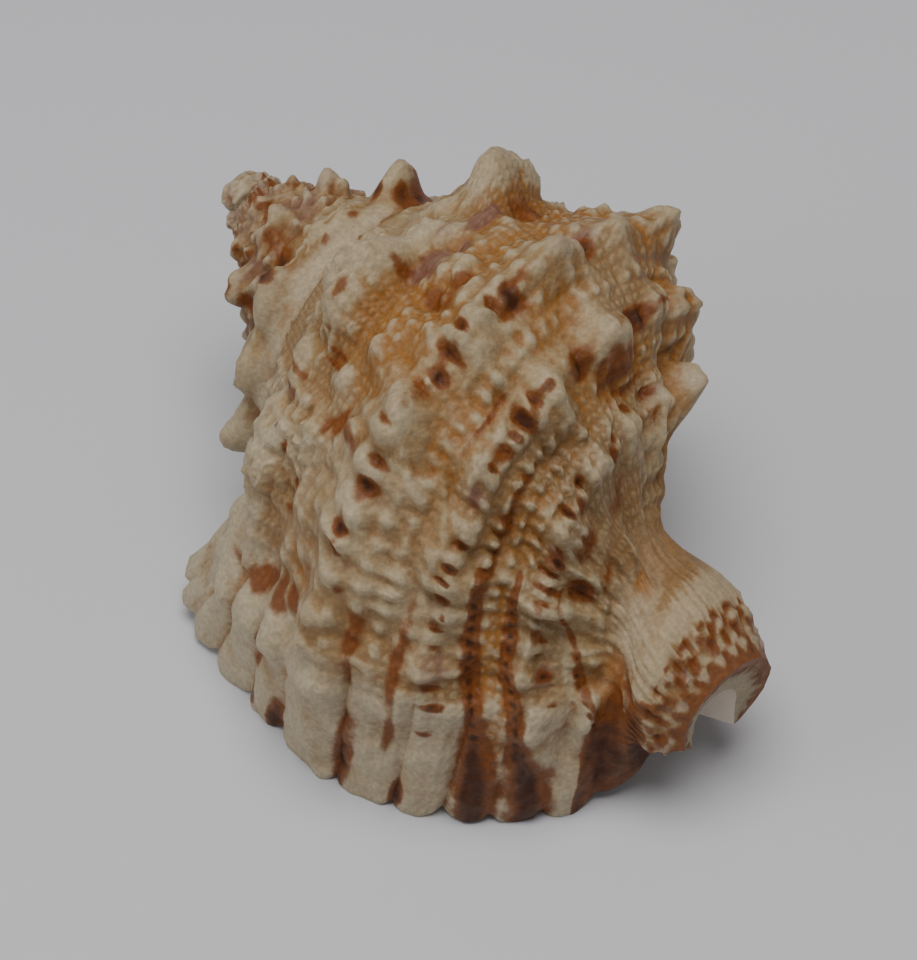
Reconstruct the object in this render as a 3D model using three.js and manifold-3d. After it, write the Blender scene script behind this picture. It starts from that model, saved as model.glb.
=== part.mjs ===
// Murex shell: a knobbly, thick-lipped spiral sea shell, closed solid with an open mouth.
// Millimetres, +Z up. The coiling axis runs along Y with the spire towards +Y and the canal
// towards -Y; the mouth opens down and the flared outer lip lies on the -X side.
import * as THREE from 'three';
import { mergeVertices } from 'three/addons/utils/BufferGeometryUtils.js';
import Module from 'manifold-3d';

const wasm = await Module();
wasm.setup();
const { Manifold, Mesh } = wasm;

// ---- driving dimensions -------------------------------------------------------------------
const whorlGrowth = 1.59;      // size ratio from one turn to the next
const whorlCount = 5.2;        // turns kept before the worn apex
const axisHeight = 33;         // coiling axis above the table
const axisPitch = 7;           // degrees, spire end raised
const restingUp = [0.028, -0.003, 0.9996];   // up, when it rests on the lip and a knob
const apexAhead = 100;         // apex in front of the middle, along Y
const lipTurn = 212;           // degrees round the axis where the outer lip ends
const sizeTurn = 232;          // degrees at which the row table below is full size
const wallThickness = 4.2;     // shell wall behind the lip
const lipThickness = 4.6;      // rolled rim of the outer lip
const flare = { turn: 62, lessAtSuture: 22, overRows: 1.5 };   // degrees over which the lip spreads
const flareBend = { reach: 2.6, turn: 1.5 };   // how late the lip leaves the plain whorl
const canalShift = { x: -5, z: -6, fromRow: 5.6, overRows: 3 };   // canal set off the axis
const canalRun = [             // groove of the canal: [x, y, z, radius]
  [-13, -16, 22, 6], [-9, -30, 19, 4.6], [-7, -64, 15, 5.6]];
const canalSlot = 0.8;         // width of the slot below the groove, against its bore
const canalFacets = 6;
const columnsPerTurn = 48;
const rowSteps = 3;            // facets between two rows on the whorl
const settleTurn = 90;         // degrees over which a turn settles to its final form
const hollowTurn = 300;        // degrees the hollow runs back behind the lip
const hollowStep = 10;         // degrees between two sections of the hollow
const hollowOuter = { first: 0.9, last: 7, step: 0.35 };   // rows under the outer wall
const hollowInner = { first: 6.9, last: 3.3, step: 0.45 }; // rows over the turn before
const callusThickness = 0.8;   // glaze on the inner side of the mouth
const finestStep = 0.03;       // facets smaller than this are merged
const clearDrop = 25;          // how far the cutting solids reach below the mouth
const spireReach = { ahead: 6, up: 3, size: 0.14, bend: 1.5 };   // oldest turns drawn out

// Rows along the whorl from suture to canal: [radius, height] at full size, then one turn earlier
const fullRows = [[31.4, 52], [37.5, 60.5], [48, 70.5], [49.9, 82.7], [54.8, 102.7],
  [45, 122], [31.5, 134.5], [17.5, 140.5], [16, 144], [10.5, 148.5]];
const innerRows = fullRows.slice(0, 4).map(([r, h]) => [r / whorlGrowth, h / whorlGrowth])
  .concat([[36.5, 61.5], [31, 71], [20, 79], [8, 99], [15, 127], [11, 147.5]]);
// Edge of the spread outer lip: [radius, height, degrees round the axis]
const lipRows = [[35, 53, 207], [56, 49, 212], [65.5, 57, 212.5], [68, 74, 212],
  [68.5, 97, 209.5], [62.5, 116, 210], [51.5, 129.5, 214], [37.5, 137.5, 225],
  [19, 142, 232], [11, 149, 222]];

// Knobs of the shoulder: [degrees behind full size, height]
const shoulderKnobs = [[-66, 4], [-117, 8], [-169, 11], [-220, 9], [-272, 9], [-325, 8],
  [-387, 14.5], [-419, 6], [-450, 9], [-488, 4], [-530, 13]];
const knobSpread = { turn: 12, row: 0.5 };
const knobStand = 0.9;         // how far a knob stands out, against its height
const knobLean = { back: 0.28, front: 0.1 };   // lean along the axis, per row
const spireKnobStep = 51;      // older knobs follow at even steps
const spireKnobHeight = 9;
const cords = [                // beaded cords under the shoulder
  { row: 4, step: 23, height: 7, phase: -147 },
  { row: 5, step: 24, height: 6, phase: -151 },
  { row: 6, step: 22, height: 5.5, phase: -190 },
];
const cordSpread = { turn: 0.25, row: 0.36 };   // share of the step, rows
const cordRidge = 0.4;         // height of the cord between its beads, against the beads
const cordFade = { least: 0.3, from: -30, over: 80 };   // cords flatten towards the lip
// Single knobs: [degrees behind full size, row, height]
const singleKnobs = [[-184, 3.45, 6], [-192, 4.05, 4.5], [-190, 4.95, 4], [-190, 5.95, 7],
  [-155, 3.1, 4], [-134, 3.1, 3], [-112, 3.1, 3]];
const singleSpread = { turn: 6, row: 0.3 };
const glazed = { from: -380, to: -290, share: 0.45 };   // knobs drowned by the inner lip

// ---- form ---------------------------------------------------------------------------------
const curve = (rows) => new THREE.CatmullRomCurve3(
  rows.map(([a, b, c = 0]) => new THREE.Vector3(a, b, c)), false, 'catmullrom', 0.5);
const fullCurve = curve(fullRows);
const innerCurve = curve(innerRows);
const lipCurve = curve(lipRows);
const lastRow = fullRows.length - 1;
const shoulderRow = 2;
const seamRow = 3;             // the row the next whorl grows over
const levelRow = 3.2;          // knobs here stand straight out, others lean away from it
const lipAngle = lipTurn - sizeTurn;
const startAngle = lipAngle - 360 * whorlCount;
const probe = { turn: 2, row: 0.15 };   // steps to either side that give a normal
const rimEnd = { row: 8, over: 2 };     // the rolled rim runs out at the canal
const rad = Math.PI / 180;
const clamp = (x) => Math.min(1, Math.max(0, x));
const ease = (x) => clamp(x) ** 2 * (3 - 2 * clamp(x));

const oldestKnob = shoulderKnobs[shoulderKnobs.length - 1][0];
for (let t = oldestKnob - spireKnobStep; t > startAngle; t -= spireKnobStep) {
  shoulderKnobs.push([t, spireKnobHeight]);
}

// round hill of height 1 in the middle
const hill = (dt, drow, spread) => Math.exp(-((dt / spread.turn) ** 2 + (drow / spread.row) ** 2));

// height of the knobs and beads over the smooth whorl, at full size
function relief(t, row) {
  let bump = 0;
  for (const [at, height] of shoulderKnobs) {
    bump += height * hill(t - at, row - shoulderRow, knobSpread);
  }
  for (const [at, atRow, height] of singleKnobs) {
    bump += height * hill(t - at, row - atRow, singleSpread);
  }
  const fade = cordFade.least
    + (1 - cordFade.least) * clamp((cordFade.from - t) / cordFade.over);
  for (const cord of cords) {
    const steps = (t - cord.phase) / cord.step;
    const bead = Math.exp(-(((steps - Math.round(steps)) / cordSpread.turn) ** 2));
    const across = Math.exp(-(((row - cord.row) / cordSpread.row) ** 2));
    bump += cord.height * fade * across * (cordRidge + (1 - cordRidge) * bead);
  }
  return t > glazed.from && t < glazed.to ? bump * glazed.share : bump;
}

// a point of the whorl surface; t in degrees behind full size, row from 0 to lastRow
function whorlPoint(t, row, knobs = true) {
  const scale = whorlGrowth ** (t / 360);
  const grown = (scale - 1 / whorlGrowth) / (1 - 1 / whorlGrowth);
  const full = fullCurve.getPoint(row / lastRow);
  const inner = innerCurve.getPoint(row / lastRow);
  // older turns are the same shape, smaller; the last one departs from it by this share
  const unlike = t > -360 ? 1 - grown : clamp(1 + (t + 360) / settleTurn);
  let radius = full.x * scale + (inner.x - full.x / whorlGrowth) * unlike;
  let height = full.y * scale + (inner.y - full.y / whorlGrowth) * unlike;
  let turn = sizeTurn + t;
  if (knobs) {
    const bump = relief(t, row) * scale;
    radius += bump * knobStand;
    height += bump * (row < levelRow ? knobLean.back : knobLean.front) * (row - levelRow);
  }
  const oldest = Math.exp(-((scale / spireReach.size) ** spireReach.bend));
  height -= spireReach.ahead * oldest;
  const flareHere = flare.turn - flare.lessAtSuture * clamp((seamRow - row) / flare.overRows);
  const spread = clamp((t - lipAngle + flareHere) / flareHere);
  if (spread > 0) {
    const lip = lipCurve.getPoint(row / lastRow);
    radius += (lip.x - radius) * spread ** flareBend.reach;
    height += (lip.y - height) * spread ** flareBend.reach;
    turn += (lip.z - lipTurn) * spread ** flareBend.turn;
  }
  const shift = ease((row - canalShift.fromRow) / canalShift.overRows);
  const x = radius * Math.cos(turn * rad) + canalShift.x * shift;
  const z = radius * Math.sin(turn * rad) + canalShift.z * shift + spireReach.up * oldest;
  const y = apexAhead - height;
  const c = Math.cos(axisPitch * rad);
  const s = Math.sin(axisPitch * rad);
  return new THREE.Vector3(x, y * c - z * s, y * s + z * c + axisHeight);
}

// the same surface moved along its outward normal
function offsetPoint(t, row, out) {
  const a = whorlPoint(t - probe.turn, row, false);
  const b = whorlPoint(t + probe.turn, row, false);
  const c = whorlPoint(t, Math.max(0, row - probe.row), false);
  const d = whorlPoint(t, Math.min(lastRow, row + probe.row), false);
  const normal = b.sub(a).cross(d.sub(c)).normalize();
  return whorlPoint(t, row, false).addScaledVector(normal, out);
}

function closedSolid(points, faces) {
  const geometry = new THREE.BufferGeometry();
  geometry.setAttribute('position', new THREE.Float32BufferAttribute(
    points.flatMap((p) => [p.x, p.y, p.z]), 3));
  geometry.setIndex(faces.flat());
  const welded = mergeVertices(geometry, 1e-4);
  const index = [];
  for (let i = 0; i < welded.index.count; i += 3) {
    const tri = [0, 1, 2].map((k) => welded.index.getX(i + k));
    if (new Set(tri).size === 3) index.push(...tri);
  }
  return new Manifold(new Mesh({ numProp: 3,
    vertProperties: new Float32Array(welded.attributes.position.array),
    triVerts: new Uint32Array(index) }));
}

// filled whorls: every column from suture to seam, the last turn on to the canal tip
function filledShell() {
  const points = [];
  const faces = [];
  const seamAt = seamRow * rowSteps;
  const rowCount = lastRow * rowSteps;
  const columnCount = Math.round(columnsPerTurn * whorlCount);
  const lastTurn = columnCount - columnsPerTurn;
  const at = [];
  for (let i = 0; i <= columnCount; i += 1) {
    const t = lipAngle - (columnCount - i) * 360 / columnsPerTurn;
    const column = [];
    for (let j = 0; j <= (i >= lastTurn ? rowCount : seamAt); j += 1) {
      if (j === 0 && i >= columnsPerTurn) {
        column.push(at[i - columnsPerTurn][seamAt]);
      } else {
        points.push(whorlPoint(t, j / rowSteps));
        column.push(points.length - 1);
      }
    }
    at.push(column);
  }
  // rolled rim under the lip edge
  const rim = [];
  for (let j = 0; j <= rowCount; j += 1) {
    const row = j / rowSteps;
    const thick = lipThickness * ease(row) * ease((rimEnd.row - row) / rimEnd.over);
    if (j === 0 || j === rowCount) {
      rim.push(at[columnCount][j]);
    } else {
      points.push(offsetPoint(lipAngle, row, -thick));
      rim.push(points.length - 1);
    }
  }
  const quad = (a, b, c, d) => faces.push([a, b, c], [a, c, d]);
  for (let i = 0; i < columnCount; i += 1) {
    const height = Math.min(at[i].length, at[i + 1].length);
    for (let j = 0; j + 1 < height; j += 1) {
      quad(at[i][j], at[i + 1][j], at[i + 1][j + 1], at[i][j + 1]);
    }
  }
  for (let j = 0; j < rowCount; j += 1) {
    quad(at[columnCount][j], rim[j], rim[j + 1], at[columnCount][j + 1]);
  }
  // mouth, drawn from the rim across to the wall of the turn before
  const wall = at[lastTurn];
  let p = 0;
  let q = seamAt;
  while (p < rowCount || q < rowCount) {
    const stepRim = (p + 1) / rowCount <= (q + 1 - seamAt) / (rowCount - seamAt);
    if (p < rowCount && (stepRim || q === rowCount)) {
      faces.push([rim[p], wall[q], rim[p + 1]]);
      p += 1;
    } else {
      faces.push([rim[p], wall[q], wall[q + 1]]);
      q += 1;
    }
  }
  // canal tip: last row of the last turn gathered to its middle
  const tip = new THREE.Vector3();
  for (let i = lastTurn; i < columnCount; i += 1) tip.add(points[at[i][rowCount]]);
  tip.divideScalar(columnsPerTurn);
  points.push(tip);
  const tipAt = points.length - 1;
  for (let i = lastTurn; i < columnCount; i += 1) {
    faces.push([at[i][rowCount], at[i + 1][rowCount], tipAt]);
  }
  faces.push([at[columnCount][rowCount], at[lastTurn][rowCount], tipAt]);
  // worn apex: first column and the first turn of the suture edge closed to one point
  const apex = new THREE.Vector3();
  for (let i = 0; i < columnsPerTurn; i += 1) apex.add(points[at[i][0]]);
  apex.divideScalar(columnsPerTurn);
  points.push(apex);
  const apexAt = points.length - 1;
  for (let i = 0; i < columnsPerTurn; i += 1) {
    faces.push([at[i][0], apexAt, at[i + 1][0]]);
  }
  for (let j = 0; j < seamAt; j += 1) faces.push([at[0][j], at[0][j + 1], apexAt]);
  return closedSolid(points, faces);
}

// closed tube through rings of equally many points
function sweptSolid(rings) {
  const size = rings[0].length;
  const points = rings.flat();
  const faces = [];
  for (let i = 0; i + 1 < rings.length; i += 1) {
    for (let j = 0; j < size; j += 1) {
      const a = i * size + j;
      const b = i * size + (j + 1) % size;
      faces.push([a, a + size, b + size], [a, b + size, b]);
    }
  }
  for (const ring of [0, rings.length - 1]) {
    const middle = new THREE.Vector3();
    rings[ring].forEach((p) => middle.add(p));
    const middleAt = points.push(middle.divideScalar(size)) - 1;
    for (let j = 0; j < size; j += 1) {
      const a = ring * size + j;
      const b = ring * size + (j + 1) % size;
      faces.push(ring === 0 ? [b, middleAt, a] : [a, middleAt, b]);
    }
  }
  return closedSolid(points, faces);
}

// hollow of the mouth, from behind the lip back into the last turn
function hollow() {
  const outerSide = [];
  for (let row = hollowOuter.first; row <= hollowOuter.last; row += hollowOuter.step) {
    outerSide.push(row);
  }
  const innerSide = [];
  for (let row = hollowInner.first; row >= hollowInner.last; row -= hollowInner.step) {
    innerSide.push(row);
  }
  const rings = [];
  for (let back = hollowTurn; back >= 0; back -= hollowStep) {
    const t = lipAngle - back;
    rings.push([
      ...outerSide.map((row) => offsetPoint(t, row, -wallThickness)),
      ...innerSide.map((row) => offsetPoint(t - 360, row, callusThickness)),
    ]);
  }
  const below = new THREE.Vector3(0, 0, -clearDrop);
  rings.push(rings[rings.length - 1].map((p) => p.clone().add(below)));
  return sweptSolid(rings);
}

// groove of the canal, round above, open below and at its tip
function canalGroove() {
  const rings = canalRun.map(([x, y, z, bore]) => {
    const ring = [];
    for (let k = 0; k <= canalFacets; k += 1) {
      const a = Math.PI * (1 - k / canalFacets);
      ring.push(new THREE.Vector3(x + bore * Math.cos(a), y, z + bore * Math.sin(a)));
    }
    ring.push(new THREE.Vector3(x + bore * canalSlot, y, -clearDrop));
    ring.push(new THREE.Vector3(x - bore * canalSlot, y, -clearDrop));
    return ring;
  });
  return sweptSolid(rings);
}

const body = filledShell().subtract(hollow()).subtract(canalGroove())
  .decompose().sort((a, b) => b.volume() - a.volume())[0].simplify(finestStep);

const out = body.getMesh();
const geometry = new THREE.BufferGeometry();
const stride = out.numProp;
const flat = new Float32Array(out.numVert * 3);
for (let i = 0; i < out.numVert; i += 1) {
  for (let k = 0; k < 3; k += 1) flat[i * 3 + k] = out.vertProperties[i * stride + k];
}
geometry.setAttribute('position', new THREE.BufferAttribute(flat, 3));
geometry.setIndex([...out.triVerts]);

// laid on the table: three touching points level, footprint centred, lowest point at zero
geometry.applyQuaternion(new THREE.Quaternion().setFromUnitVectors(
  new THREE.Vector3(...restingUp).normalize(), new THREE.Vector3(0, 0, 1)));
geometry.computeBoundingBox();
const { min, max } = geometry.boundingBox;
geometry.translate(-(min.x + max.x) / 2, -(min.y + max.y) / 2, -min.z);
geometry.computeVertexNormals();

const shell = new THREE.Mesh(geometry,
  new THREE.MeshStandardMaterial({ color: 0xd9c7a8, roughness: 0.6 }));
shell.name = 'shell';

const group = new THREE.Group();
group.name = 'murex_shell';
group.add(shell);
export default group;
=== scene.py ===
# Murex shell lying on its lip, coiling axis along Y with the spire to +Y. Metres.
import bpy
import math
import numpy as np
from mathutils import Matrix, Vector, noise


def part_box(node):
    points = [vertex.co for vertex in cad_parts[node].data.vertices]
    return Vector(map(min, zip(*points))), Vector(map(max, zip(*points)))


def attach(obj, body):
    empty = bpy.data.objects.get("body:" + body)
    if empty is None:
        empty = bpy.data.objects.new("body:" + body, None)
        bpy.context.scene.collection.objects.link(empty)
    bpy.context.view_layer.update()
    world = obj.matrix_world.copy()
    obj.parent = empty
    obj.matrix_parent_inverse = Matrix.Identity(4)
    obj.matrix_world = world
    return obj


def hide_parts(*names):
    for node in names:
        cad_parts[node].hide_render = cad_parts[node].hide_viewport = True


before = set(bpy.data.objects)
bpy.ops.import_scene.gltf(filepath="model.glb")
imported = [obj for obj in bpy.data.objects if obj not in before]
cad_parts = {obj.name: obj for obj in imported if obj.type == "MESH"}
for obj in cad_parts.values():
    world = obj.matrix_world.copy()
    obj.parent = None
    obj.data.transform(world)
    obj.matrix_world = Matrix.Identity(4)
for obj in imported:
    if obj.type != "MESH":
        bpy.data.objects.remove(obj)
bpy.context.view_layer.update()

mm = 0.001                      # shapes are worked out in mm, then scaled

# the whole shell is one growing tube: turn t in degrees behind full size, row 0 suture to 9 canal tip
whorl = {
    "growth": 1.59,         # size ratio of one turn to the next
    "turns": 5.2,
    "axisHeight": 33,
    "axisPitch": 7,
    "up": (0.028, -0.003, 0.9996),
    "apexAhead": 100,
    "lipTurn": 212,
    "sizeTurn": 232,
    "flareTurn": 62,
    "settleTurn": 90,       # over which a turn settles to its final form
    "canalShift": (-5, -6),
    "columns": 400,         # around the last turn, half as many on the older ones
    "bodyRows": 112,        # from the seam to the canal tip
    "spireRows": 30,        # from the suture to the seam
    "seam": 3,
    "rowSpread": [(0, 3), (0.24, 4), (0.49, 5), (0.71, 6), (0.87, 7), (0.93, 8), (1, 9)],
    "fullRows": [(31.4, 52), (37.5, 60.5), (48, 70.5), (49.9, 82.7), (54.8, 102.7),
                 (45, 122), (31.5, 134.5), (17.5, 140.5), (16, 144), (10.5, 148.5)],
    "innerRows": [(36.5, 61.5), (31, 71), (20, 79), (8, 99), (15, 127), (11, 147.5)],
    "lipRows": [(35, 53, 207), (56, 49, 212), (65.5, 57, 212.5), (68, 74, 212),
                (68.5, 97, 209.5), (62.5, 116, 210), (51.5, 129.5, 214),
                (37.5, 137.5, 225), (19, 142, 232), (11, 149, 222)],
    "spireReach": (6, 3, 0.14),   # the oldest turns drawn out ahead and up
}
knobs = {
    "shoulder": [(-66, 4), (-117, 8), (-169, 11), (-220, 9), (-272, 9), (-325, 8),
                 (-387, 14.5), (-419, 6), (-450, 9), (-488, 4), (-530, 13)],
    "olderStep": 51,
    "olderHeight": 9,
    "cords": [(4, 23, 7, -147), (5, 24, 6, -151), (6, 22, 5.5, -190)],   # row, step, height, phase
    "lone": [(-184, 3.45, 6), (-192, 4.05, 4.5), (-190, 4.95, 4), (-190, 5.95, 7),
             (-155, 3.1, 4), (-134, 3.1, 3), (-112, 3.1, 3)],
    "loneShare": 0.8,
    "shoulderRow": 2,
    "shoulderWide": (12, 0.5),      # turn, row
    "loneWide": (6, 0.3),
    "cordWide": (0.25, 0.36),       # share of the step, row
    "cordRidge": 0.32,              # the plain ridge between two knobs
    "cordKnob": 0.75,
    "drowned": (-380, -290, 0.45),  # turns under the inner lip, and what is left of the knobs
}
wall = {
    "thick": 4.2,
    "lip": 4.6,
    "callus": 0.8,
    "hollowTurn": 300,
    "drop": 25,                 # how far the cutters reach down, past the shell
    "outerRows": (1.25, 7),     # the hollow under the outer wall, then back over the turn before
    "innerRows": (6.9, 3.8),
    "outerShare": 0.62,
    "innerShare": 0.97,
    "hollowSteps": 100,
    "hollowColumns": 66,
    "tooth": 1.1,
}


lipAngle = whorl["lipTurn"] - whorl["sizeTurn"]
startAngle = lipAngle - 360 * whorl["turns"]


def curveAt(points, row):
    # smooth curve through the points, one point to a row
    pts = np.array(points, float)
    row = np.clip(np.asarray(row, float), 0, len(pts) - 1)
    i = np.minimum(row.astype(int), len(pts) - 2)
    w = (row - i)[..., None]
    before = np.where((i == 0)[..., None], 2 * pts[0] - pts[1], pts[np.maximum(i - 1, 0)])
    after = np.where((i == len(pts) - 2)[..., None], 2 * pts[-1] - pts[-2],
                     pts[np.minimum(i + 2, len(pts) - 1)])
    a, b = pts[i], pts[i + 1]
    return 0.5 * (2 * a + (b - before) * w + (2 * before - 5 * a + 4 * b - after) * w ** 2
                  + (3 * a - before - 3 * b + after) * w ** 3)


def ease(x):
    x = np.clip(x, 0, 1)
    return x * x * (3 - 2 * x)


def rise(value, start, over):
    return ease((value - start) / over)


def hill(t, row, t0, row0, tWide, rowWide):
    return np.exp(-(((t - t0) / tWide) ** 2 + ((row - row0) / rowWide) ** 2))


def knob(t, row, t0, row0, tWide, rowWide):
    # a hill with a blunt, rounded top
    return np.exp(-(((t - t0) / tWide) ** 2 + ((row - row0) / rowWide) ** 2) ** 1.4)


def shoulderList():
    found = list(knobs["shoulder"])
    t = found[-1][0] - knobs["olderStep"]
    while t > -360 * (whorl["turns"] + 0.2):
        found.append((t, knobs["olderHeight"]))
        t -= knobs["olderStep"]
    return found


def mainRelief(t, row):
    bump = np.zeros(t.shape)
    for at, high in shoulderList():
        bump += high * knob(t, row, at, knobs["shoulderRow"], *knobs["shoulderWide"])
    for at, row0, high in knobs["lone"]:
        bump += knobs["loneShare"] * high * knob(t, row, at, row0, *knobs["loneWide"])
    shareWide, rowWide = knobs["cordWide"]
    fade = 0.3 + 0.7 * np.clip(-(t + 30) / 80, 0, 1)    # the cords run flatter towards the lip
    for row0, step, high, phase in knobs["cords"]:
        along = (t - phase) / step
        along -= np.round(along)
        beads = knobs["cordRidge"] + knobs["cordKnob"] * np.exp(-np.abs(along / shareWide) ** 2.8)
        bump += high * fade * np.exp(-((row - row0) / rowWide) ** 2) * beads
    first, last, share = knobs["drowned"]
    return bump * np.where((t > first) & (t < last), share, 1.0)


def wave(x, sharp):
    return ((1 + np.cos(2 * np.pi * x)) / 2) ** sharp


def noiseAt(t, row, tScale, rowScale, seed):
    # smooth noise over the whorl, about -1 to 1
    flat = zip((np.ravel(t) / tScale).tolist(), (np.ravel(row) / rowScale).tolist())
    return np.array([noise.noise((a, b, seed)) for a, b in flat]).reshape(t.shape) * 1.6


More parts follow.
